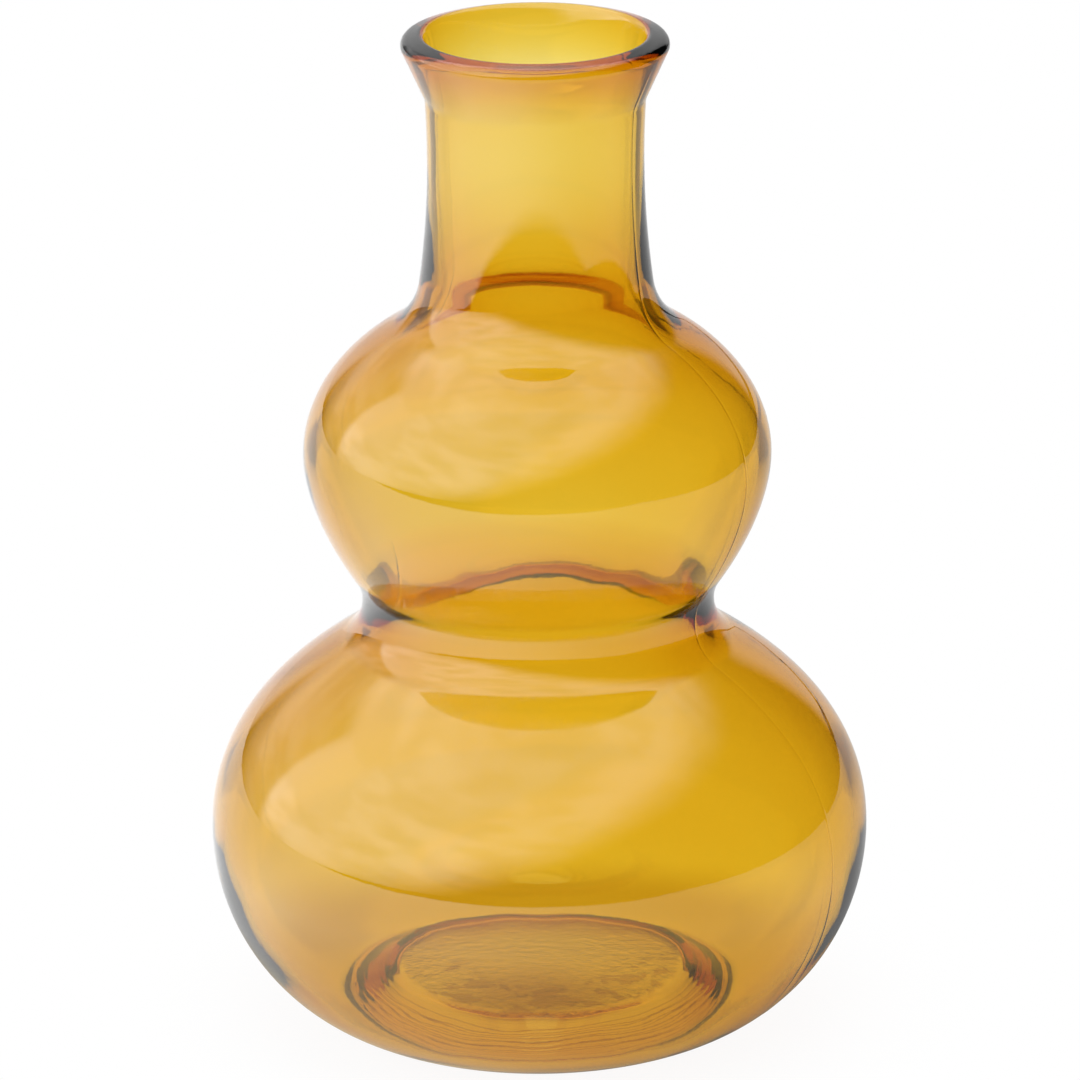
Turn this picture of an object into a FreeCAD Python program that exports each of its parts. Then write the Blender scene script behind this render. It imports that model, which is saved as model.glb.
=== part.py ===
import FreeCAD, Part
import math
import os

os.makedirs("parts", exist_ok=True)

# A gourd vase in mould-blown amber glass: one solid of revolution, in millimetres, with +Z up.
# The origin is the centre of the foot, on the surface that the vase stands on.
# Angles are in degrees. A flank is the angle between the outward normal and the horizontal.
# A fullness share of 0.71 makes a conic a quarter ellipse, and a larger one makes it fuller.

# Foot: a flat bearing ring round a pushed-up underside with a sloping side
foot_radius = 46.0
foot_ring_width = 2.0
foot_round = 0.8
push_up = 8.4
push_up_radius = 36.0
push_up_fall = 0.4
push_up_round = 2.5

# Floor: a low mound over the push-up, with a valley between it and the heel
floor_thickness = 3.2
side_thickness = 1.5
mound_round = 4.0
heel_wall = 3.3
valley_start_share = 0.15
valley_reach = 3.6
valley_round = 3.0

# Lower bulb
lower_mid_height = 49.1
lower_radius = 80.8
lower_wall = 3.2
underside_slope = 16.3
heel_fullness_share = 0.775
bowl_fullness_share = 0.77
crown_flank = 58.65
crown_fullness_share = 1.0

# Waist, narrowest a little lower down inside
waist_rise = 57.9
waist_radius = 43.1
waist_round = 12.35
waist_wall = 4.5
inner_waist_round = 13.0
inner_waist_drop = 1.5

# Upper bulb
upper_rise = 37.6
upper_radius = 57.1
upper_wall = 3.2
belly_flank = 34.7
belly_fullness_share = 0.907
shoulder_flank = 59.5
shoulder_fullness_share = 0.886

# Neck, with a straight round bore
shoulder_rise = 45.4
shoulder_round = 16.2
neck_rise = 29.6
neck_radius = 26.25
neck_arc = 230.0
neck_wall = 2.4

# Flared mouth, from the parting line of the neck ring up
collar_rise = 14.4
flare_rise = 14.6
lip_corner_radius = 33.3
lip_width = 6.5
lip_slope_drop = 1.6
lip_outer_round = 2.2
lip_inner_round = 1.5
bore_round = 34.0

half_turn = math.pi
full_turn_degrees = 360.0

# Heights of the widest and narrowest rings
waist_height = lower_mid_height + waist_rise
upper_mid_height = waist_height + upper_rise
shoulder_height = upper_mid_height + shoulder_rise
neck_height = shoulder_height + neck_rise
collar_height = neck_height + collar_rise
lip_outer_height = collar_height + flare_rise
lip_inner_height = lip_outer_height + lip_slope_drop
bore_radius = neck_radius - neck_wall


def point(radius, height):
    return FreeCAD.Vector(radius, 0, height)


def on_circle(centre, radius, angle):
    return centre + point(radius * math.cos(angle), radius * math.sin(angle))


def line(start, end):
    return Part.LineSegment(start, end).toShape()


def arc(centre, radius, start_angle, end_angle):
    middle_angle = (start_angle + end_angle) / 2
    start = on_circle(centre, radius, start_angle)
    middle = on_circle(centre, radius, middle_angle)
    end = on_circle(centre, radius, end_angle)
    return Part.Arc(start, middle, end).toShape()


def conic(start, corner, end, fullness_share):
    curve = Part.BezierCurve()
    curve.setPoles([start, corner, end])
    curve.setWeight(2, fullness_share)
    return curve.toShape()


# The two straight sides of a corner, shortened, and the arc that joins them
def rounded_corner(before, corner, after, radius):
    back = (before - corner).normalize()
    ahead = (after - corner).normalize()
    half_angle = back.getAngle(ahead) / 2
    reach = radius / math.tan(half_angle)
    depth = radius / math.sin(half_angle)
    towards_centre = (back + ahead).normalize()
    start = corner + back * reach
    end = corner + ahead * reach
    middle = corner + towards_centre * (depth - radius)
    return start, Part.Arc(start, middle, end).toShape(), end


waist_centre = point(waist_radius + waist_round, waist_height)
inner_waist_radius = waist_radius - waist_wall
inner_waist_centre = point(inner_waist_radius + inner_waist_round, waist_height - inner_waist_drop)
neck_centre = point(neck_radius + neck_arc, neck_height)
shoulder_reach = math.sqrt((neck_arc - shoulder_round) ** 2 - neck_rise ** 2)
shoulder_centre = point(neck_centre.x - shoulder_reach, shoulder_height)
shoulder_end_angle = half_turn + math.asin(neck_rise / (neck_arc - shoulder_round))
collar_angle = half_turn - math.asin(collar_rise / neck_arc)


# Both bulbs with the waist between them, from the lower bulb's widest ring to the shoulder's round
def bulb_edges(lower_ring_radius, arc_centre, arc_radius, upper_ring_radius, shoulder_arc_radius):
    crown_angle = half_turn + math.radians(crown_flank)
    belly_angle = half_turn - math.radians(belly_flank)
    shoulder_angle = half_turn + math.radians(shoulder_flank)
    crown_top = on_circle(arc_centre, arc_radius, crown_angle)
    belly_foot = on_circle(arc_centre, arc_radius, belly_angle)
    shoulder_foot = on_circle(shoulder_centre, shoulder_arc_radius, shoulder_angle)

    lower_ring = point(lower_ring_radius, lower_mid_height)
    upper_ring = point(upper_ring_radius, upper_mid_height)
    crown_fall = (lower_ring_radius - crown_top.x) / math.tan(math.radians(crown_flank))
    belly_climb = (upper_ring_radius - belly_foot.x) / math.tan(math.radians(belly_flank))
    shoulder_fall = (upper_ring_radius - shoulder_foot.x) / math.tan(math.radians(shoulder_flank))
    crown_corner = point(lower_ring_radius, crown_top.z - crown_fall)
    belly_corner = point(upper_ring_radius, belly_foot.z + belly_climb)
    shoulder_corner = point(upper_ring_radius, shoulder_foot.z - shoulder_fall)
    return [
        conic(lower_ring, crown_corner, crown_top, crown_fullness_share),
        arc(arc_centre, arc_radius, crown_angle, belly_angle),
        conic(belly_foot, belly_corner, upper_ring, belly_fullness_share),
        conic(upper_ring, shoulder_corner, shoulder_foot, shoulder_fullness_share),
    ]


# The underside, from the axis out to the edge of the bearing ring
def foot_edges():
    dome_top = point(0, push_up)
    push_up_edge = point(push_up_radius, push_up - push_up_fall)
    ring_inner = point(foot_radius - foot_ring_width, 0)
    ring_outer = point(foot_radius, 0)
    edge_start, edge_round, edge_end = rounded_corner(dome_top, push_up_edge, ring_inner, push_up_round)
    ring_start, ring_round, ring_end = rounded_corner(push_up_edge, ring_inner, ring_outer, foot_round)
    return [
        line(dome_top, edge_start),
        edge_round,
        line(edge_end, ring_start),
        ring_round,
        line(ring_end, ring_outer),
    ]


# The outside of the lower bulb, from the bearing ring to its widest ring
def heel_edge():
    heel_corner_height = (lower_radius - foot_radius) * math.tan(math.radians(underside_slope))
    heel_corner = point(lower_radius, heel_corner_height)
    lower_ring = point(lower_radius, lower_mid_height)
    return conic(point(foot_radius, 0), heel_corner, lower_ring, heel_fullness_share)


# The rest of the outside, up to the foot of the neck
def outer_edges():
    bulbs = bulb_edges(lower_radius, waist_centre, waist_round, upper_radius, shoulder_round)
    shoulder_angle = half_turn + math.radians(shoulder_flank)
    shoulder = arc(shoulder_centre, shoulder_round, shoulder_angle, shoulder_end_angle)
    return [heel_edge()] + bulbs + [shoulder]


# The floor inside: the mound, the valley round it and the bowl, which follows the heel
def floor_edges():
    heel = heel_edge()
    along = heel.tangentAt(valley_start_share)
    inward = FreeCAD.Vector(-along.z, 0, along.x)
    valley_end = heel.valueAt(valley_start_share) + inward * heel_wall
    valley = valley_end - along * valley_reach
    mound_top = point(0, push_up + floor_thickness)
    mound_edge = point(push_up_radius + side_thickness, mound_top.z - push_up_fall)
    mound_start, mound_turn, mound_end = rounded_corner(mound_top, mound_edge, valley, mound_round)
    valley_start, valley_turn, valley_stop = rounded_corner(mound_edge, valley, valley_end, valley_round)
    inner_lower_radius = lower_radius - lower_wall
    bowl_climb = (inner_lower_radius - valley_end.x) * along.z / along.x
    bowl_corner = point(inner_lower_radius, valley_end.z + bowl_climb)
    lower_ring = point(inner_lower_radius, lower_mid_height)
    return [
        line(mound_top, mound_start),
        mound_turn,
        line(mound_end, valley_start),
        valley_turn,
        line(valley_stop, valley_end),
        conic(valley_end, bowl_corner, lower_ring, bowl_fullness_share),
    ]


# The neck's outside, the flared lip and the straight bore, down to the inner shoulder
def mouth_edges():
    collar = on_circle(neck_centre, neck_arc, collar_angle)
    neck = arc(neck_centre, neck_arc, shoulder_end_angle, collar_angle)
    lip_outer = point(lip_corner_radius, lip_outer_height)
    lip_inner = point(lip_corner_radius - lip_width, lip_inner_height)
    knee = point(bore_radius, collar_height)
    bore_foot = point(bore_radius, shoulder_height)
    outer_start, outer_round, outer_end = rounded_corner(collar, lip_outer, lip_inner, lip_outer_round)
    inner_start, inner_round, inner_end = rounded_corner(lip_outer, lip_inner, knee, lip_inner_round)
    knee_start, knee_round, knee_end = rounded_corner(lip_inner, knee, bore_foot, bore_round)
    return [
        neck,
        line(collar, outer_start),
        outer_round,
        line(outer_end, inner_start),
        inner_round,
        line(inner_end, knee_start),
        knee_round,
        line(knee_end, bore_foot),
    ]


# The inside of the bulbs, up to the foot of the bore
def inner_edges():
    inner_lower_radius = lower_radius - lower_wall
    inner_upper_radius = upper_radius - upper_wall
    inner_shoulder_round = shoulder_centre.x - bore_radius
    shoulder_angle = half_turn + math.radians(shoulder_flank)
    bulbs = bulb_edges(inner_lower_radius, inner_waist_centre, inner_waist_round, inner_upper_radius,
                       inner_shoulder_round)
    return bulbs + [arc(shoulder_centre, inner_shoulder_round, shoulder_angle, half_turn)]


def make_glass_body():
    axis = line(point(0, push_up), point(0, push_up + floor_thickness))
    edges = [axis] + foot_edges() + outer_edges() + mouth_edges() + inner_edges() + floor_edges()
    outline = Part.Wire(Part.__sortEdges__(edges))
    section = Part.Face(outline)
    origin = point(0, 0)
    return section.revolve(origin, FreeCAD.Vector(0, 0, 1), full_turn_degrees)


glass_body = make_glass_body()
glass_body.exportStep("parts/glass_body.step")

box = glass_body.optimalBoundingBox(False, False)
print("glass_body", glass_body.ShapeType, "valid", glass_body.isValid())
print("box", round(box.XLength, 2), round(box.YLength, 2), round(box.ZLength, 2))
print("volume in cubic millimetres", round(glass_body.Volume))
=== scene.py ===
import math

import bmesh
import bpy
from mathutils import Matrix, Vector, noise


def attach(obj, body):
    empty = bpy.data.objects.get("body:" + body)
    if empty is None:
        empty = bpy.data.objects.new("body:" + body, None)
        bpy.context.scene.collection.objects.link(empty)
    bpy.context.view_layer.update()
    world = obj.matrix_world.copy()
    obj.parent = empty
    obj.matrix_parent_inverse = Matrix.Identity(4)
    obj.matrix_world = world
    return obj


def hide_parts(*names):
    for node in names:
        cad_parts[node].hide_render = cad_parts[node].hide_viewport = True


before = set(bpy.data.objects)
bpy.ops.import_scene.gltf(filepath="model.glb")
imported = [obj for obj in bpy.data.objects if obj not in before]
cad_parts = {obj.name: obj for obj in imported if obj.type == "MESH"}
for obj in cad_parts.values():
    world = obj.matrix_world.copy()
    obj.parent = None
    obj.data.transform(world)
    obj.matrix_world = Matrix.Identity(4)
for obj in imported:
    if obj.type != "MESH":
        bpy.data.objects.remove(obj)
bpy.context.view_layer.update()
print("frame loaded:", sorted(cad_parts))


# Small helpers for node trees

white = (1.0, 1.0, 1.0, 1.0)


def addNode(tree, kind, settings=None, inputs=None):
    node = tree.nodes.new(kind)
    for name, value in (settings or {}).items():
        setattr(node, name, value)
    for socket, value in (inputs or {}).items():
        if isinstance(value, bpy.types.NodeSocket):
            tree.links.new(value, node.inputs[socket])
        else:
            node.inputs[socket].default_value = value
    return node


def addMath(tree, operation, first, second=0.0):
    node = addNode(tree, "ShaderNodeMath", {"operation": operation}, {0: first, 1: second})
    return node.outputs[0]


def multiplied(tree, product, *factors):
    for factor in factors:
        product = addMath(tree, "MULTIPLY", product, factor)
    return product


def largest(tree, value, *others):
    for other in others:
        value = addMath(tree, "MAXIMUM", value, other)
    return value


def flatLength(tree, x, y):
    squares = addMath(tree, "ADD", multiplied(tree, x, x), multiplied(tree, y, y))
    return addMath(tree, "SQRT", squares)


def addRamp(tree, value, fromLow, fromHigh, toLow=0.0, toHigh=1.0):
    # a smooth step from toLow to toHigh while the value goes from fromLow to fromHigh
    node = addNode(tree, "ShaderNodeMapRange", {"interpolation_type": "SMOOTHSTEP"}, {
        "Value": value, "From Min": fromLow, "From Max": fromHigh,
        "To Min": toLow, "To Max": toHigh})
    return node.outputs["Result"]


def addNoise(tree, vector, values):
    return addNode(tree, "ShaderNodeTexNoise", None, {"Vector": vector, **values}).outputs[0]


def addDistance(tree, vector, centre):
    node = addNode(tree, "ShaderNodeVectorMath", {"operation": "DISTANCE"}, {0: vector, 1: centre})
    return node.outputs["Value"]


def mixValues(tree, share, first, second):
    node = addNode(tree, "ShaderNodeMix", {"data_type": "FLOAT"}, {0: share, 2: first, 3: second})
    return node.outputs[0]


def mixColours(tree, share, first, second):
    node = addNode(tree, "ShaderNodeMix", {"data_type": "RGBA"}, {0: share, 6: first, 7: second})
    return node.outputs[2]


def separated(tree, vector):
    return addNode(tree, "ShaderNodeSeparateXYZ", None, {0: vector}).outputs


def freshTree(owner):
    owner.use_nodes = True
    owner.node_tree.nodes.clear()
    return owner.node_tree


# The vase's outline, in metres: radius and height. Angles are in degrees

vaseShape = {
    "footRadius": 0.046,
    "footRingWidth": 0.002,
    "footRound": 0.0008,
    "pushUp": 0.0084,
    "pushUpRadius": 0.036,
    "pushUpFall": 0.0004,
    "pushUpRound": 0.0025,
    "floorThickness": 0.0032,
    "sideThickness": 0.0015,
    "moundRound": 0.004,
    "heelWall": 0.0033,
    "valleyStart": 0.15,       # as a share of the heel's steps
    "valleyReach": 0.0036,
    "valleyRound": 0.003,
    "lowerMidHeight": 0.0491,
    "lowerRadius": 0.0808,
    "lowerWall": 0.0032,
    "undersideSlope": 16.3,
    "heelFullness": 0.775,
    "bowlFullness": 0.77,
    "crownFlank": 58.65,
    "crownFullness": 1.0,
    "waistHeight": 0.107,
    "waistRadius": 0.0431,
    "waistRound": 0.01235,
    "waistWall": 0.0045,
    "innerWaistRound": 0.013,
    "innerWaistDrop": 0.0015,
    "upperMidHeight": 0.1446,
    "upperRadius": 0.0571,
    "upperWall": 0.0032,
    "bellyFlank": 34.7,
    "bellyFullness": 0.907,
    "shoulderFlank": 59.5,
    "shoulderFullness": 0.886,
    "shoulderHeight": 0.19,
    "shoulderRound": 0.0162,
    "neckHeight": 0.2196,
    "neckRadius": 0.02625,
    "neckArc": 0.23,
    "neckWall": 0.0024,
    "partingReach": 0.0012,    # finer steps on each side of the parting line
    "collarHeight": 0.234,     # the parting line
    "lipOuterHeight": 0.2486,
    "lipInnerHeight": 0.2502,
    "lipCornerRadius": 0.0333,
    "lipWidth": 0.0065,
    "lipOuterRound": 0.0022,
    "lipInnerRound": 0.0015,
    "boreRound": 0.034,
}

# Steps along each stretch of the outline
outlineSteps = {
    "underside": 14, "pushUpRound": 8, "pushUpSide": 4, "footRound": 6, "footRing": 2,
    "heel": 40, "crown": 24, "waist": 20, "belly": 14, "upperCrown": 20, "shoulder": 14,
    "neck": 24, "parting": 6, "collar": 8, "lipOuterRound": 10,
    "lipTop": 4, "lipInnerRound": 8, "flare": 6, "boreRound": 10, "bore": 14,
    "mound": 14, "moundRound": 8, "moundSide": 3, "valleyRound": 8, "valleySide": 2, "bowl": 36,
}

samePoint = 1e-7


def onCircle(centre, radius, angle):
    return centre + radius * Vector((math.cos(angle), math.sin(angle)))


def linePoints(start, end, stretch):
    steps = outlineSteps[stretch]
    return [start.lerp(end, i / steps) for i in range(steps + 1)]


def arcPoints(centre, radius, startAngle, endAngle, stretch):
    steps = outlineSteps[stretch]
    step = (endAngle - startAngle) / steps
    return [onCircle(centre, radius, startAngle + step * i) for i in range(steps + 1)]


def conicPoints(start, corner, end, fullness, stretch):
    steps = outlineSteps[stretch]
    points = []
    for i in range(steps + 1):
        t = i / steps
        shares = ((1 - t) ** 2, 2 * fullness * t * (1 - t), t ** 2)
        points.append((shares[0] * start + shares[1] * corner + shares[2] * end) / sum(shares))
    return points


def cornerPoints(before, corner, after, radius, stretch):
    # the arc that rounds a corner between two straight sides
    back = (before - corner).normalized()
    ahead = (after - corner).normalized()
    halfAngle = back.angle(ahead) / 2
    start = corner + back * radius / math.tan(halfAngle)
    end = corner + ahead * radius / math.tan(halfAngle)
    centre = corner + (back + ahead).normalized() * radius / math.sin(halfAngle)
    startAngle = math.atan2(start.y - centre.y, start.x - centre.x)
    endAngle = math.atan2(end.y - centre.y, end.x - centre.x)
    turn = (endAngle - startAngle + math.pi) % (2 * math.pi) - math.pi
    return arcPoints(centre, radius, startAngle, startAngle + turn, stretch)


def joined(*stretches):
    points = list(stretches[0])
    for stretch in stretches[1:]:
        if (points[-1] - stretch[0]).length < samePoint:
            points += stretch[1:]
        else:
            points += stretch
    return points


def shoulderCentre(shape):
    neckFall = shape["neckHeight"] - shape["shoulderHeight"]
    reach = math.sqrt((shape["neckArc"] - shape["shoulderRound"]) ** 2 - neckFall ** 2)
    return Vector((shape["neckRadius"] + shape["neckArc"] - reach, shape["shoulderHeight"]))


def neckCentre(shape):
    return Vector((shape["neckRadius"] + shape["neckArc"], shape["neckHeight"]))


def collarAngle(shape):
    collarRise = shape["collarHeight"] - shape["neckHeight"]
    return math.pi - math.asin(collarRise / shape["neckArc"])


def lipCorners(shape):
    outer = Vector((shape["lipCornerRadius"], shape["lipOuterHeight"]))
    inner = Vector((shape["lipCornerRadius"] - shape["lipWidth"], shape["lipInnerHeight"]))
    return outer, inner


def bulbPoints(shape, lowerRadius, waistCentre, waistRound, upperRadius, shoulderRound):
    # both bulbs with the waist between them, from the lower bulb's widest ring up
    crownFlank = math.radians(shape["crownFlank"])
    bellyFlank = math.radians(shape["bellyFlank"])
    shoulderFlank = math.radians(shape["shoulderFlank"])
    crownAngle = math.pi + crownFlank
    bellyAngle = math.pi - bellyFlank
    crownTop = onCircle(waistCentre, waistRound, crownAngle)
    bellyFoot = onCircle(waistCentre, waistRound, bellyAngle)
    shoulderFoot = onCircle(shoulderCentre(shape), shoulderRound, math.pi + shoulderFlank)

    lowerRing = Vector((lowerRadius, shape["lowerMidHeight"]))
    upperRing = Vector((upperRadius, shape["upperMidHeight"]))
    crownFall = (lowerRadius - crownTop.x) / math.tan(crownFlank)
    bellyClimb = (upperRadius - bellyFoot.x) / math.tan(bellyFlank)
    shoulderFall = (upperRadius - shoulderFoot.x) / math.tan(shoulderFlank)
    crownCorner = Vector((lowerRadius, crownTop.y - crownFall))
    bellyCorner = Vector((upperRadius, bellyFoot.y + bellyClimb))
    shoulderCorner = Vector((upperRadius, shoulderFoot.y - shoulderFall))
    return joined(
        conicPoints(lowerRing, crownCorner, crownTop, shape["crownFullness"], "crown"),
        arcPoints(waistCentre, waistRound, crownAngle, bellyAngle, "waist"),
        conicPoints(bellyFoot, bellyCorner, upperRing, shape["bellyFullness"], "belly"),
        conicPoints(upperRing, shoulderCorner, shoulderFoot, shape["shoulderFullness"],
                    "upperCrown"))


def heelPoints(shape):
    # the lower bulb's outside, from the bearing ring to its widest ring
    rise = (shape["lowerRadius"] - shape["footRadius"]) * math.tan(
        math.radians(shape["undersideSlope"]))
    footEdge = Vector((shape["footRadius"], 0))
    heelCorner = Vector((shape["lowerRadius"], rise))
    lowerRing = Vector((shape["lowerRadius"], shape["lowerMidHeight"]))
    return conicPoints(footEdge, heelCorner, lowerRing, shape["heelFullness"], "heel")


def undersidePoints(shape):
    # the pushed-up underside, from the axis out to the edge of the bearing ring
    top = Vector((0, shape["pushUp"]))
    pushUpEdge = Vector((shape["pushUpRadius"], shape["pushUp"] - shape["pushUpFall"]))
    ringInner = Vector((shape["footRadius"] - shape["footRingWidth"], 0))
    ringOuter = Vector((shape["footRadius"], 0))
    edgeRound = cornerPoints(top, pushUpEdge, ringInner, shape["pushUpRound"], "pushUpRound")
    ringRound = cornerPoints(pushUpEdge, ringInner, ringOuter, shape["footRound"], "footRound")
    return joined(linePoints(top, edgeRound[0], "underside"), edgeRound,
                  linePoints(edgeRound[-1], ringRound[0], "pushUpSide"), ringRound,
                  linePoints(ringRound[-1], ringOuter, "footRing"))


def floorPoints(shape):
    # the floor inside: the mound, the valley round it and the bowl, which follows the heel
    heel = heelPoints(shape)
    step = round(shape["valleyStart"] * (len(heel) - 1))
    along = (heel[step + 1] - heel[step - 1]).normalized()
    valleyEnd = heel[step] + Vector((-along.y, along.x)) * shape["heelWall"]
    valley = valleyEnd - along * shape["valleyReach"]
    moundTop = Vector((0, shape["pushUp"] + shape["floorThickness"]))
    moundEdge = Vector((shape["pushUpRadius"] + shape["sideThickness"],
                        moundTop.y - shape["pushUpFall"]))
    moundRound = cornerPoints(moundTop, moundEdge, valley, shape["moundRound"], "moundRound")
    valleyRound = cornerPoints(moundEdge, valley, valleyEnd, shape["valleyRound"], "valleyRound")
    innerLower = shape["lowerRadius"] - shape["lowerWall"]
    bowlClimb = (innerLower - valleyEnd.x) * along.y / along.x
    bowlCorner = Vector((innerLower, valleyEnd.y + bowlClimb))
    bowlRing = Vector((innerLower, shape["lowerMidHeight"]))
    return joined(linePoints(moundTop, moundRound[0], "mound"), moundRound,
                  linePoints(moundRound[-1], valleyRound[0], "moundSide"), valleyRound,
                  linePoints(valleyRound[-1], valleyEnd, "valleySide"),
                  conicPoints(valleyEnd, bowlCorner, bowlRing, shape["bowlFullness"], "bowl"))


def lipOuterPoints(shape):
    collar = onCircle(neckCentre(shape), shape["neckArc"], collarAngle(shape))
    lipOuter, lipInner = lipCorners(shape)
    return cornerPoints(collar, lipOuter, lipInner, shape["lipOuterRound"], "lipOuterRound")


def outerOutline(shape):
    # from the centre of the underside, out and up to the lip's outer round
    waistCentre = Vector((shape["waistRadius"] + shape["waistRound"], shape["waistHeight"]))
    bulbs = bulbPoints(shape, shape["lowerRadius"], waistCentre, shape["waistRound"],
                       shape["upperRadius"], shape["shoulderRound"])

    neckFall = shape["neckHeight"] - shape["shoulderHeight"]
    shoulderStart = math.pi + math.radians(shape["shoulderFlank"])
    shoulderEnd = math.pi + math.asin(neckFall / (shape["neckArc"] - shape["shoulderRound"]))
    shoulder = arcPoints(shoulderCentre(shape), shape["shoulderRound"], shoulderStart,
                         shoulderEnd, "shoulder")

    neckEnd = collarAngle(shape)
    partingStart = neckEnd + shape["partingReach"] / shape["neckArc"]
    centre = neckCentre(shape)
    neck = joined(arcPoints(centre, shape["neckArc"], shoulderEnd, partingStart, "neck"),
                  arcPoints(centre, shape["neckArc"], partingStart, neckEnd, "parting"))
    lip = lipOuterPoints(shape)
    partingEnd = neck[-1] + (lip[0] - neck[-1]).normalized() * shape["partingReach"]
    return joined(undersidePoints(shape), heelPoints(shape), bulbs, shoulder, neck,
                  linePoints(neck[-1], partingEnd, "parting"),
                  linePoints(partingEnd, lip[0], "collar"), lip)


def innerOutline(shape):
    # from the lip's outer round, in over the lip and down to the centre of the floor
    boreRadius = shape["neckRadius"] - shape["neckWall"]
    knee = Vector((boreRadius, shape["collarHeight"]))
    boreFoot = Vector((boreRadius, shape["shoulderHeight"]))
    lipOuter, lipInner = lipCorners(shape)
    outerRound = lipOuterPoints(shape)
    innerRound = cornerPoints(lipOuter, lipInner, knee, shape["lipInnerRound"], "lipInnerRound")
    boreRound = cornerPoints(lipInner, knee, boreFoot, shape["boreRound"], "boreRound")

    centre = shoulderCentre(shape)
    innerShoulderRound = centre.x - boreRadius
    innerLower = shape["lowerRadius"] - shape["lowerWall"]
    innerUpper = shape["upperRadius"] - shape["upperWall"]
    waistCentre = Vector((shape["waistRadius"] - shape["waistWall"] + shape["innerWaistRound"],
                          shape["waistHeight"] - shape["innerWaistDrop"]))
    bulbs = bulbPoints(shape, innerLower, waistCentre, shape["innerWaistRound"], innerUpper,
                       innerShoulderRound)
    shoulderStart = math.pi + math.radians(shape["shoulderFlank"])
    shoulder = arcPoints(centre, innerShoulderRound, shoulderStart, math.pi, "shoulder")
    upward = joined(floorPoints(shape), bulbs, shoulder)
    return joined(linePoints(outerRound[-1], innerRound[0], "lipTop"), innerRound,
                  linePoints(innerRound[-1], boreRound[0], "flare"), boreRound,
                  linePoints(boreRound[-1], boreFoot, "bore"), upward[::-1])


# The glass shell: both outlines spun about the axis, with finer steps at the two mould seams

glassForm = {
    "seamAngle": -28.0,        # degrees from the +X axis; the second seam is opposite
    "seamStripAngle": 1.6,
    "seamStripSteps": 10,
    "plainSteps": 104,         # for each half turn between the seams
    "seamHeight": 0.00005,
    "seamWidth": 0.00035,
    "seamFoot": 0.001,         # the seams start and end at these heights
    "seamTop": 0.246,
    "seamFade": 0.004,
    "ringHeight": 0.00010,     # the parting line
    "ringWidth": 0.00035,
    "waveFade": 0.02,          # the waves die out over this height at the foot and the neck's top
    "outerWaveHeight": 0.00006,
    "outerWaveSize": 0.018,
    "innerWaveHeight": 0.00022,
    "innerWaveSize": 0.030,
    "innerRippleHeight": 0.00005,
    "innerRippleSize": 0.009,
    "mergeDistance": 1e-6,
}


def clamped(value):
    return min(1.0, max(0.0, value))


def spinOutline(bm, points, form):
    strip = math.radians(form["seamStripAngle"])
    startAngle = math.radians(form["seamAngle"]) - strip / 2
    direction = Vector((math.cos(startAngle), math.sin(startAngle), 0))
    line = [bm.verts.new(direction * p.x + Vector((0, 0, p.y))) for p in points]
    geometry = line + [bm.edges.new(pair) for pair in zip(line, line[1:])]
    halfTurn = ((strip, form["seamStripSteps"]), (math.pi - strip, form["plainSteps"]))
    for angle, steps in halfTurn * 2:
        spun = bmesh.ops.spin(bm, geom=geometry, axis=(0, 0, 1), cent=(0, 0, 0), angle=angle,
                              steps=steps, use_merge=False)
        geometry = spun["geom_last"]


def makeUneven(bm, shape, form):
    # waves and ripples on the inside
    bm.normal_update()
    for v in bm.verts:
        fade = clamped((shape["collarHeight"] - v.co.z) / form["waveFade"])
        wave = noise.noise(v.co / form["innerWaveSize"]) * form["innerWaveHeight"]
        ripple = noise.noise(v.co / form["innerRippleSize"]) * form["innerRippleHeight"]
        v.co += v.normal * fade * (wave + ripple)


def raiseSeams(verts, shape, form):
    # the mould seams, the parting line and gentle waves on the outside
    seam = math.radians(form["seamAngle"])
    for v in verts:
        radius = math.hypot(v.co.x, v.co.y)
        if radius < form["mergeDistance"]:
            continue
        z = v.co.z
        outward = Vector((v.co.x, v.co.y, 0)) / radius
        offset = (math.atan2(v.co.y, v.co.x) - seam + math.pi / 2) % math.pi - math.pi / 2
        seamShare = math.exp(-(offset * radius / form["seamWidth"]) ** 2)
        seamShare *= clamped((z - form["seamFoot"]) / form["seamFade"])
        seamShare *= clamped((form["seamTop"] - z) / form["seamFade"])
        ringShare = math.exp(-((z - shape["collarHeight"]) / form["ringWidth"]) ** 2)
        fade = clamped((shape["collarHeight"] - z) / form["waveFade"])
        fade *= clamped(z / form["waveFade"])
        wave = (noise.noise(v.co / form["outerWaveSize"]) - 1.0) * form["outerWaveHeight"] * fade
        v.co += outward * (seamShare * form["seamHeight"] + ringShare * form["ringHeight"] + wave)


def makeGlass(shape, form):
    bm = bmesh.new()
    spinOutline(bm, innerOutline(shape), form)
    bmesh.ops.remove_doubles(bm, verts=bm.verts, dist=form["mergeDistance"])
    makeUneven(bm, shape, form)
    inside = set(bm.verts)
    spinOutline(bm, outerOutline(shape), form)
    raiseSeams([v for v in bm.verts if v not in inside], shape, form)
    bmesh.ops.remove_doubles(bm, verts=bm.verts, dist=form["mergeDistance"])
    bmesh.ops.recalc_face_normals(bm, faces=bm.faces)
    for face in bm.faces:
        face.smooth = True
    mesh = bpy.data.meshes.new("glassShell")
    bm.to_mesh(mesh)
    bm.free()
    glass = bpy.data.objects.new("glass_shell", mesh)
    bpy.context.scene.collection.objects.link(glass)
    return glass


glass = makeGlass(vaseShape, glassForm)
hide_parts("glass_body")
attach(glass, "root")
print("glass shell made:", len(glass.data.polygons), "faces")


# Amber glass

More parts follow.
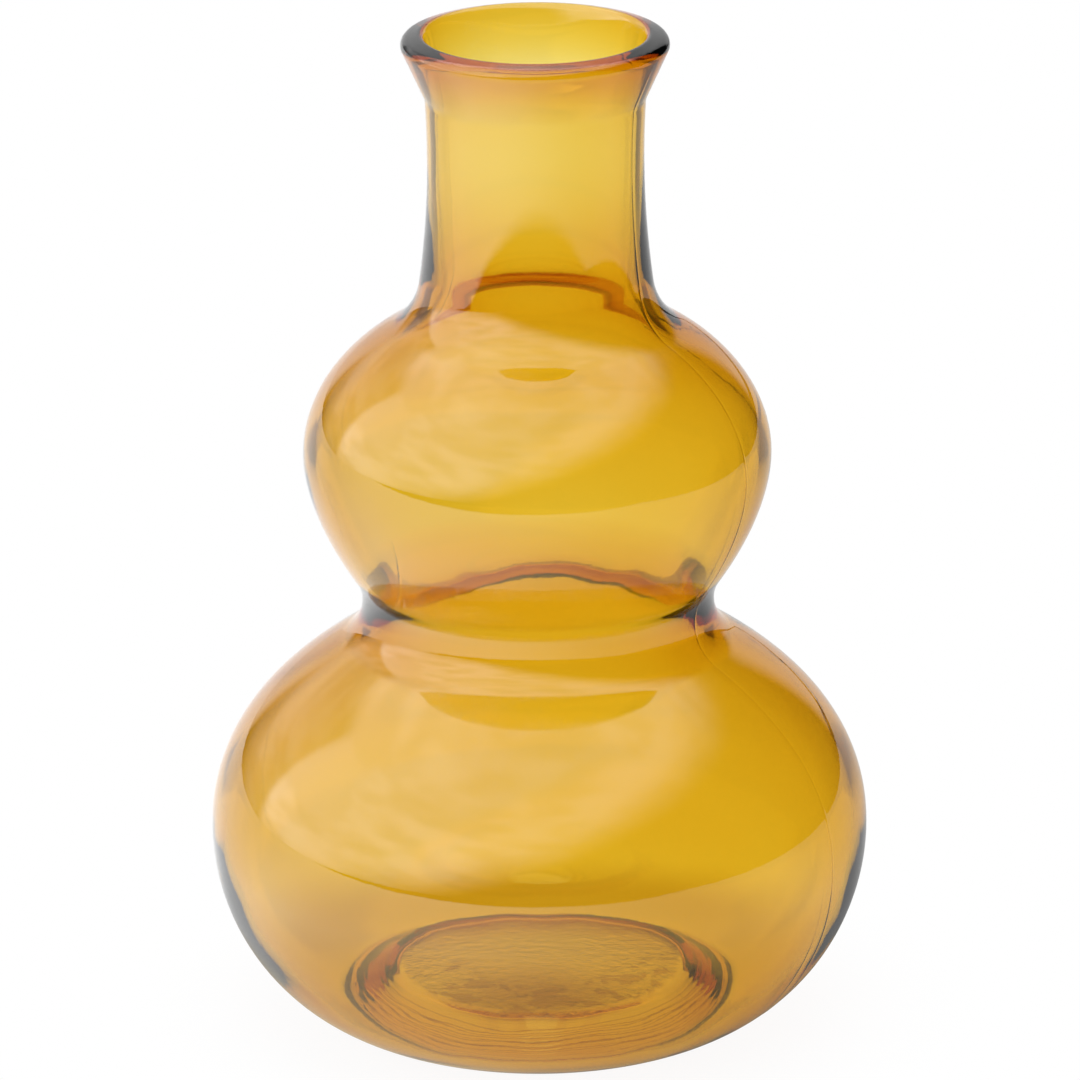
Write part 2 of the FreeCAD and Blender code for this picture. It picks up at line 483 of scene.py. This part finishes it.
glassLook = {
    "indexOfRefraction": 1.52,
    "absorptionPerMetre": 680.0,
    "throughColour": (0.951, 0.84, 0.16, 1.0),
    "shadowColour": (0.93, 0.80, 0.55, 1.0),
    "grainNoise": {"Scale": 220.0, "Detail": 3.0},
    "grainRange": (0.35, 0.75),
    "grainRoughness": 0.012,     # where the grain is strongest
    "grainHeight": 0.000008,
    "undersideTop": (0.0086, 0.0092),       # the marks below fade out between these heights
    "undersideEdge": (0.033, 0.036),        # and between these radii
    "blotchNoise": {"Scale": 420.0, "Detail": 6.0, "Roughness": 0.65},
    "blotchHeight": 0.00028,
    "filmNoise": {"Scale": 130.0, "Detail": 6.0, "Roughness": 0.55, "Distortion": 0.4},
    "filmRange": (0.50, 0.515),
    "filmEdgeRange": (0.485, 0.50),
    "filmFront": (-0.006, 0.004),           # on the front half only
    "filmInner": (0.016, 0.022),
    "filmColour": (0.60, 0.45, 0.28, 1.0),  # dried residue
    "filmEdgeColour": (1.0, 0.97, 0.90, 1.0),
    "footRingInner": (0.036, 0.038),        # the rings turned into the foot
    "footRingOuter": (0.0465, 0.048),
    "grooveSpacing": 0.0011,
    "grooveHeight": 0.000012,
    "ringLineRange": (0.75, 0.95),
    "ringLineColour": (0.55, 0.44, 0.30, 1.0),
}


def makeAmberGlass(look):
    material = bpy.data.materials.new("amberGlass")
    tree = freshTree(material)
    coordinates = addNode(tree, "ShaderNodeTexCoord").outputs["Object"]
    x, y, z = separated(tree, coordinates)
    radius = flatLength(tree, x, y)
    grain = addNoise(tree, coordinates, look["grainNoise"])
    roughness = addRamp(tree, grain, *look["grainRange"], 0.0, look["grainRoughness"])

    below = addRamp(tree, z, *look["undersideTop"], 1.0, 0.0)
    underside = multiplied(tree, below, addRamp(tree, radius, *look["undersideEdge"], 1.0, 0.0))
    footRing = multiplied(tree, below, addRamp(tree, radius, *look["footRingInner"]),
                          addRamp(tree, radius, *look["footRingOuter"], 1.0, 0.0))

    blotches = addNoise(tree, coordinates, look["blotchNoise"])
    grooves = addMath(tree, "SINE", multiplied(tree, radius, 2 * math.pi / look["grooveSpacing"]))
    height = multiplied(tree, grain, look["grainHeight"])
    height = addMath(tree, "ADD", height, multiplied(
        tree, blotches, look["blotchHeight"], underside))
    height = addMath(tree, "ADD", height, multiplied(
        tree, grooves, look["grooveHeight"], footRing))
    bump = addNode(tree, "ShaderNodeBump", None, {
        "Strength": 1.0, "Distance": 1.0, "Height": height})

    film = addNoise(tree, coordinates, look["filmNoise"])
    filmPlace = multiplied(tree, underside, addRamp(tree, y, *look["filmFront"], 1.0, 0.0),
                           addRamp(tree, radius, *look["filmInner"]))
    stained = multiplied(tree, filmPlace, addRamp(tree, film, *look["filmRange"]))
    outlined = multiplied(tree, filmPlace, addRamp(tree, film, *look["filmEdgeRange"]),
                          addRamp(tree, film, *look["filmRange"], 1.0, 0.0))
    ringLines = multiplied(tree, footRing, addRamp(tree, grooves, *look["ringLineRange"]))
    tint = mixColours(tree, stained, white, look["filmColour"])
    tint = mixColours(tree, outlined, tint, look["filmEdgeColour"])
    tint = mixColours(tree, ringLines, tint, look["ringLineColour"])

    surface = addNode(tree, "ShaderNodeBsdfPrincipled", None, {
        "Base Color": tint, "Roughness": roughness, "IOR": look["indexOfRefraction"],
        "Transmission Weight": 1.0, "Normal": bump.outputs[0]})
    absorption = addNode(tree, "ShaderNodeVolumeAbsorption", None, {
        "Color": look["throughColour"], "Density": look["absorptionPerMetre"]})
    clear = addNode(tree, "ShaderNodeBsdfTransparent", None, {"Color": look["shadowColour"]})
    lightPath = addNode(tree, "ShaderNodeLightPath")
    mixed = addNode(tree, "ShaderNodeMixShader", None, {
        0: lightPath.outputs["Is Shadow Ray"], 1: surface.outputs[0], 2: clear.outputs[0]})
    addNode(tree, "ShaderNodeOutputMaterial", None, {
        "Surface": mixed.outputs[0], "Volume": absorption.outputs[0]})
    return material


glass.data.materials.append(makeAmberGlass(glassLook))
print("glass material made")


# The room: a bright ceiling, a window on the left, a white backdrop, and darkness on the right.
# Reaches are parts of a direction of length 1, with x to the right, y straight back and z up.
# Back is the share straight back of its level part

roomLook = {
    "roomLevel": 0.02,
    "ambientLevel": 0.75,             # the plain light on rough surfaces
    "backdropEdge": 28.0,             # degrees to each side of straight back
    "backdropSoftness": 4.0,
    "backdropAcross": (-0.45, 0.45),  # x, from the left level to the right level
    "backdropLeft": 0.95,
    "backdropRight": 0.6,
    "ceilingLevel": 2.05,
    "ceilingLeftLevel": 0.9,          # added on the left
    "ceilingAcross": (-0.6, 0.0),     # x
    "ceilingEdge": (0.24, 0.66),      # z, straight ahead and behind
    "ceilingTilt": 0.55,              # its light reaches lower on the left than on the right
    "ceilingUneven": 0.22,
    "cloudStretch": (1.0, 1.0, 2.6),
    "cloudNoise": {"Scale": 2.6, "Detail": 3.0},
    "cloudRange": (0.35, 0.65),
    "sideLevel": 0.35,                # the share of the ceiling's light left behind the window
    "sideStart": (0.38, 0.50),        # back
    "sideTop": (0.60, 0.74),          # z
    "windowLevel": 2.8,
    "windowSide": (-0.35, -0.25),     # x
    "windowFront": (-0.36, -0.28),    # back
    "windowBack": (0.38, 0.46),
    "windowFoot": (0.16, 0.34),       # z
    "windowFootShare": 0.25,
    "windowTop": (0.67, 0.72),
    "backSeen": 0.98,                 # straight back through the glass
    "backSeenEdge": (0.84, 0.92),     # y
    "sideSeen": 0.16,                 # the darkest that shows through the glass
    "brightestSeen": 1.3,
    "leastLength": 0.001,             # keeps a division away from zero
}


def addBackdrop(tree, x, backShare, look):
    edge = math.radians(look["backdropEdge"])
    soft = math.radians(look["backdropSoftness"])
    backLevel = addRamp(tree, x, *look["backdropAcross"], look["backdropLeft"],
                        look["backdropRight"])
    inside = addRamp(tree, backShare, math.cos(edge + soft), math.cos(edge - soft),
                     look["roomLevel"], 1.0)
    return multiplied(tree, backLevel, inside)


def addCeiling(tree, direction, x, z, backShare, look):
    tilted = addMath(tree, "SUBTRACT", z, multiplied(tree, x, look["ceilingTilt"]))
    strength = addRamp(tree, x, *look["ceilingAcross"],
                       look["ceilingLevel"] + look["ceilingLeftLevel"], look["ceilingLevel"])
    stretched = addNode(tree, "ShaderNodeVectorMath", {"operation": "MULTIPLY"}, {
        0: direction, 1: look["cloudStretch"]})
    clouds = addNoise(tree, stretched.outputs[0], look["cloudNoise"])
    uneven = addRamp(tree, clouds, *look["cloudRange"], 1.0 - look["ceilingUneven"],
                     1.0 + look["ceilingUneven"])
    behind = multiplied(tree, addRamp(tree, backShare, *look["sideStart"]),
                        addRamp(tree, z, *look["sideTop"], 1.0, 0.0))
    return multiplied(tree, addRamp(tree, tilted, *look["ceilingEdge"]), strength, uneven,
                      addRamp(tree, behind, 0.0, 1.0, 1.0, look["sideLevel"]))


def addWindow(tree, x, z, backShare, look):
    return multiplied(
        tree, addRamp(tree, x, *look["windowSide"], look["windowLevel"], 0.0),
        addRamp(tree, backShare, *look["windowFront"]),
        addRamp(tree, backShare, *look["windowBack"], 1.0, 0.0),
        addRamp(tree, z, *look["windowFoot"], look["windowFootShare"], 1.0),
        addRamp(tree, z, *look["windowTop"], 1.0, 0.0))


def makeWorld(look):
    # mirrored rays see the room, rays through the glass see it softened, and the camera sees white
    world = bpy.data.worlds.new("studioWorld")
    bpy.context.scene.world = world
    tree = freshTree(world)
    direction = addNode(tree, "ShaderNodeTexCoord").outputs["Generated"]
    x, y, z = separated(tree, direction)
    level = addMath(tree, "MAXIMUM", flatLength(tree, x, y), look["leastLength"])
    backShare = addMath(tree, "DIVIDE", y, level)
    room = largest(tree, addBackdrop(tree, x, backShare, look),
                   addCeiling(tree, direction, x, z, backShare, look),
                   addWindow(tree, x, z, backShare, look))

    aside = addMath(tree, "MINIMUM", largest(tree, room, look["sideSeen"]), look["brightestSeen"])
    behindGlass = mixValues(tree, addRamp(tree, y, *look["backSeenEdge"]), aside, look["backSeen"])
    lightPath = addNode(tree, "ShaderNodeLightPath").outputs
    mirrored = mixValues(tree, lightPath["Is Glossy Ray"], look["ambientLevel"], room)
    refracted = mixValues(tree, lightPath["Is Transmission Ray"], mirrored, behindGlass)
    strength = mixValues(tree, lightPath["Is Camera Ray"], refracted, 1.0)
    background = addNode(tree, "ShaderNodeBackground", None, {
        "Color": white, "Strength": strength})
    addNode(tree, "ShaderNodeOutputWorld", None, {"Surface": background.outputs[0]})


# The floor: a white table in the dim room. Reaches are in metres, or shares of a direction

tableLook = {
    "floorRadius": 12.0,
    "floorSegments": 64,
    "tableFront": 0.98,
    "tableFrontSoftness": 0.12,
    "tableSide": 1.2,              # on the right
    "tableSideSoftness": 0.04,
    "tableAcross": (-0.9, 0.9),    # share to the right, from the left level to the right level: painted light, brighter on the window's side
    "tableLeftLevel": 2.3,
    "tableRightLevel": 0.9,
    "tableBackLeftLevel": 1.3,
    "tableBackRightLevel": 0.5,
    "tableBackEdge": (-0.2, 0.5),  # share straight back
    "tableShadowShare": 0.35,        # painted shadow of the vase: the share of its light that the table keeps beside the vase
    "tableShadowEdge": (0.06, 0.16),
    "tableFarSeen": 0.28,          # beyond the table on the right, through the glass
    "gapStart": (0.73, 0.76),      # two darker parts at the back, seen through the glass
    "gapEnd": (0.87, 0.92),
    "gapReach": (0.25, 0.65),
    "underCentre": (0.0, -0.019, 0.0),   # centre of the painted brown shadow under the vase, the light that comes through the amber glass
    "underEdge": (0.010, 0.038),
    "underShadowColour": (0.44, 0.28, 0.07, 1.0),
    "shadowRimColour": (0.84, 0.72, 0.46, 1.0),
    # painted shade behind the vase, under the back of the lower bulb
    "behindCentre": (0.0, 0.022, 0.0),
    "behindEdge": (0.030, 0.050),
    "behindShadowColour": (0.74, 0.64, 0.45, 1.0),
    # the painted shadow fades to white between these distances
    "whiteEdge": (0.058, 0.098),
    "paperColour": (0.93, 0.93, 0.93, 1.0),
    "ownLightNear": 0.93,          # the share of the floor's own light; the rest shows the shadow
    "ownLightEdge": (0.05, 0.12),
    "leastDistance": 0.01,         # keeps a division away from zero
}


def addTableLevel(tree, table, distance, sideShare, backShare, look):
    # what the glass mirrors, as painted light: brighter on the left and dimmer at the back, with a
    # painted shadow beside the vase
    frontLevel = addRamp(tree, sideShare, *look["tableAcross"], look["tableLeftLevel"],
                         look["tableRightLevel"])
    backLevel = addRamp(tree, sideShare, *look["tableAcross"], look["tableBackLeftLevel"],
                        look["tableBackRightLevel"])
    level = mixValues(tree, addRamp(tree, backShare, *look["tableBackEdge"]), frontLevel, backLevel)
    # the painted shadow of the vase on the mirrored table
    vaseShadow = addRamp(tree, distance, *look["tableShadowEdge"], look["tableShadowShare"], 1.0)
    return largest(tree, multiplied(tree, table, level, vaseShadow), roomLook["roomLevel"])


# Painted shadow on the floor: brown under the vase, paler round it and behind it, white further out
def addPaintedShadow(tree, coordinates, look):
    under = addRamp(tree, addDistance(tree, coordinates, look["underCentre"]), *look["underEdge"])
    behind = addDistance(tree, coordinates, look["behindCentre"])
    tint = mixColours(tree, under, look["underShadowColour"], look["shadowRimColour"])
    tint = mixColours(tree, addRamp(tree, behind, *look["behindEdge"]), tint, look["behindShadowColour"])
    return mixColours(tree, addRamp(tree, behind, *look["whiteEdge"]), tint, white)


def makePaleFloor(look):
    material = bpy.data.materials.new("paleFloor")
    tree = freshTree(material)
    coordinates = addNode(tree, "ShaderNodeTexCoord").outputs["Object"]
    x, y = separated(tree, coordinates)[:2]
    distance = addDistance(tree, coordinates, (0.0, 0.0, 0.0))
    away = addMath(tree, "MAXIMUM", distance, look["leastDistance"])
    sideShare = addMath(tree, "DIVIDE", x, away)
    backShare = addMath(tree, "DIVIDE", y, away)
    front = addRamp(tree, y, -look["tableFront"] - look["tableFrontSoftness"],
                    -look["tableFront"] + look["tableFrontSoftness"])
    side = addRamp(tree, x, look["tableSide"] - look["tableSideSoftness"],
                   look["tableSide"] + look["tableSideSoftness"], 1.0, 0.0)
    table = multiplied(tree, front, side)
    mirrored = addTableLevel(tree, table, distance, sideShare, backShare, look)

    gap = multiplied(tree, addRamp(tree, backShare, *look["gapStart"]),
                     addRamp(tree, backShare, *look["gapEnd"], 1.0, 0.0),
                     addRamp(tree, distance, *look["gapReach"]))
    seen = addRamp(tree, side, 0.0, 1.0, look["tableFarSeen"], roomLook["backSeen"])
    seen = mixValues(tree, gap, seen, look["tableFarSeen"])

    lightPath = addNode(tree, "ShaderNodeLightPath").outputs
    camera, glossy, through = (lightPath[name] for name in (
        "Is Camera Ray", "Is Glossy Ray", "Is Transmission Ray"))
    level = mixValues(tree, through, mixValues(tree, glossy, 1.0, mirrored), seen)
    # the camera sees the floor's glow white; rays through or off the glass see the painted shadow
    tint = mixColours(tree, camera, addPaintedShadow(tree, coordinates, look), white)
    glow = addNode(tree, "ShaderNodeEmission", None, {"Color": tint, "Strength": level})
    paper = addNode(tree, "ShaderNodeBsdfDiffuse", None, {"Color": look["paperColour"]})
    ownLight = multiplied(tree, camera, addRamp(tree, distance, *look["ownLightEdge"],
                                                look["ownLightNear"], 1.0))
    lit = largest(tree, ownLight, glossy, through)
    mixed = addNode(tree, "ShaderNodeMixShader", None, {
        0: lit, 1: paper.outputs[0], 2: glow.outputs[0]})
    addNode(tree, "ShaderNodeOutputMaterial", None, {"Surface": mixed.outputs[0]})
    return material


def makeFloor(look):
    bm = bmesh.new()
    bmesh.ops.create_circle(bm, cap_ends=True, radius=look["floorRadius"],
                            segments=look["floorSegments"])
    mesh = bpy.data.meshes.new("floor")
    bm.to_mesh(mesh)
    bm.free()
    floor = bpy.data.objects.new("floor", mesh)
    bpy.context.scene.collection.objects.link(floor)
    floor.data.materials.append(makePaleFloor(look))


# Soft boxes, which the glass doesn't mirror

softBoxes = {
    "leftSoftBox": {
        "location": (-1.2, 0.10, 0.62), "target": (0, 0.10, 0.62),
        "size": (0.97, 1.0), "power": 9.0},
    "topSoftBox": {
        "location": (0, -0.2, 1.9), "target": (0, 0, 0.1),
        "size": (1.6, 1.6), "power": 14.0},
}


def addLamp(name, box):
    data = bpy.data.lights.new(name, "AREA")
    data.shape = "RECTANGLE"
    data.size, data.size_y = box["size"]
    data.energy = box["power"]
    lamp = bpy.data.objects.new(name, data)
    bpy.context.scene.collection.objects.link(lamp)
    lamp.location = box["location"]
    aim = Vector(box["target"]) - Vector(box["location"])
    lamp.rotation_euler = aim.to_track_quat("-Z", "Y").to_euler()
    lamp.visible_camera = False
    lamp.visible_transmission = False
    lamp.visible_glossy = False


makeWorld(roomLook)
makeFloor(tableLook)
for boxName, box in softBoxes.items():
    addLamp(boxName, box)
print("studio made")


# Camera at the photograph's viewing angle

cameraView = {
    "distance": 2.083,
    "height": 0.8198,
    "sideways": 0.00054,
    "pitch": 18.53,            # degrees below the horizon
    "roll": -0.0055,           # radians
    "lens": 299.73,
    "sensorWidth": 36.0,
}


def makeCamera(values):
    data = bpy.data.cameras.new("camera")
    data.sensor_width = values["sensorWidth"]
    data.lens = values["lens"]
    camera = bpy.data.objects.new("camera", data)
    bpy.context.scene.collection.objects.link(camera)
    camera.location = (values["sideways"], -values["distance"], values["height"])
    pitch = Matrix.Rotation(math.radians(90 - values["pitch"]), 3, "X")
    camera.rotation_euler = (pitch @ Matrix.Rotation(values["roll"], 3, "Z")).to_euler()
    bpy.context.scene.camera = camera


makeCamera(cameraView)
bpy.context.scene.view_settings.view_transform = "Standard"
print("camera set")
